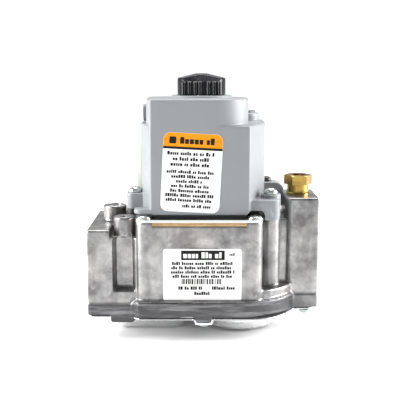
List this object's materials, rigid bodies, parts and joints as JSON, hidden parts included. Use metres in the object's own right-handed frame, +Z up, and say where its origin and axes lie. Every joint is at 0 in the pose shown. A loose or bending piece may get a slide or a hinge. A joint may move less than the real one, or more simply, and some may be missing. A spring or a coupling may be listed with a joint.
{
  "type": "gas valve",
  "caption": "Two-stage combination gas control valve with a cast body, painted cover, on/off knob and pressure taps.",
  "frame": {"origin": "centre of the inlet port's mouth", "axes": "+X along the pipe run towards the outlet, +Z up towards the knob, -Y is the labelled front"},
  "size_m": [0.131, 0.077, 0.1473],
  "materials": {
    "cast_aluminium": "rough die-cast",
    "bright_sheet": "bright pressed sheet",
    "zinc_plate": "clear zinc plate",
    "grey_paint": "satin grey paint",
    "brass": "machined",
    "black_knob": "satin moulded black",
    "dark_plastic": "satin moulded dark grey",
    "ivory_plastic": "moulded off-white",
    "black_oxide": "black oxide",
    "fibre_gasket": "compressed fibre",
    "label": "printed label",
    "rubber": "moulded nitrile",
    "steel": "turned steel",
    "spring_steel": "drawn wire",
    "winding": "enamelled wire under varnish"
  },
  "bodies": {
    "root": {"valve_body": "cast_aluminium", "bottom_cover": "bright_sheet", "bottom_seal": "rubber", "bottom_screws": "zinc_plate", "flush_screws": "zinc_plate", "body_gasket": "fibre_gasket", "base_plate": "bright_sheet", "plate_screws": "zinc_plate", "top_cover": "grey_paint", "cover_screws": "zinc_plate", "rear_screw": "black_oxide", "inlet_screen": "steel", "inlet_tap_plug": "steel", "outlet_tap_adapter": "brass", "shaft_seal": "rubber", "switch_body": "dark_plastic", "switch_terminals": "steel", "first_guide_tube": "brass", "first_bobbin": "dark_plastic", "first_winding": "winding", "first_yoke": "zinc_plate", "first_pole_piece": "steel", "first_spring": "spring_steel", "servo_guide_tube": "brass", "servo_bobbin": "dark_plastic", "servo_winding": "winding", "servo_yoke": "zinc_plate", "servo_pole_piece": "steel", "servo_spring": "spring_steel", "main_spring": "spring_steel", "main_diaphragm": "rubber", "regulator_housings": "cast_aluminium", "regulator_diaphragms": "rubber", "regulator_clamps": "zinc_plate", "regulator_lower_cups": "zinc_plate", "high_spring": "spring_steel", "low_spring": "spring_steel", "regulator_caps": "dark_plastic", "terminal_board": "ivory_plastic", "terminals": "brass", "vent_plug": "dark_plastic", "notice_label": "label", "rating_label": "label"},
    "knob": {"knob": "black_knob", "knob_shaft": "steel", "shaft_clip": "steel"},
    "switch_button": {"switch_button": "ivory_plastic"},
    "first_valve": {"first_plunger": "steel", "first_valve_stem": "brass", "first_valve_disc": "rubber"},
    "servo_valve": {"servo_plunger": "steel", "servo_tip": "rubber"},
    "main_valve": {"main_valve_stem": "brass", "main_valve_disc": "rubber", "diaphragm_plate": "zinc_plate", "diaphragm_washer": "zinc_plate"},
    "high_cup": {"high_cup": "dark_plastic"},
    "high_screw": {"high_screw": "ivory_plastic"},
    "low_cup": {"low_cup": "dark_plastic"},
    "low_screw": {"low_screw": "ivory_plastic"}
  },
  "joints": [
    {"name": "knob_turn", "type": "hinge", "parent": "root", "child": "knob", "pos_m": [0.06385, 0, 0.097], "axis": [0, 0, 1], "range_deg": [0, 90]},
    {"name": "switch_press", "type": "slide", "parent": "root", "child": "switch_button", "axis": [0, 1, 0], "range_m": [0, 0.0015]},
    {"name": "first_valve_lift", "type": "slide", "parent": "root", "child": "first_valve", "axis": [0, 0, 1], "range_m": [0, 0.003], "stiffness_N_per_m": 180, "springref_m": -0.008, "deforming": ["first_spring"]},
    {"name": "servo_valve_lift", "type": "slide", "parent": "root", "child": "servo_valve", "axis": [0, 0, 1], "range_m": [0, 0.0015], "stiffness_N_per_m": 150, "springref_m": -0.006, "deforming": ["servo_spring"]},
    {"name": "main_valve_lift", "type": "slide", "parent": "root", "child": "main_valve", "axis": [0, 0, 1], "range_m": [0, 0.004], "stiffness_N_per_m": 220, "springref_m": -0.01, "deforming": ["main_spring", "main_diaphragm"]},
    {"name": "high_cup_travel", "type": "slide", "parent": "root", "child": "high_cup", "axis": [0, 0, 1], "range_m": [-0.002, 0.002], "deforming": ["high_spring"]},
    {"name": "high_screw_turn", "type": "hinge", "parent": "high_cup", "child": "high_screw", "pos_m": [0.09, 0.018, 0.076], "axis": [0, 0, 1], "range_deg": [-721, 721]},
    {"name": "low_cup_travel", "type": "slide", "parent": "root", "child": "low_cup", "axis": [0, 0, 1], "range_m": [-0.002, 0.002], "deforming": ["low_spring"]},
    {"name": "low_screw_turn", "type": "hinge", "parent": "low_cup", "child": "low_screw", "pos_m": [0.066, 0.025, 0.076], "axis": [0, 0, 1], "range_deg": [-721, 721]}
  ],
  "couplings": [
    {"joint": "switch_press", "follows": "knob_turn", "m_per_rad": 0.00095493},
    {"joint": "high_screw_turn", "follows": "high_cup_travel", "rad_per_m": 6283.2},
    {"joint": "low_screw_turn", "follows": "low_cup_travel", "rad_per_m": 6283.2}
  ]
}
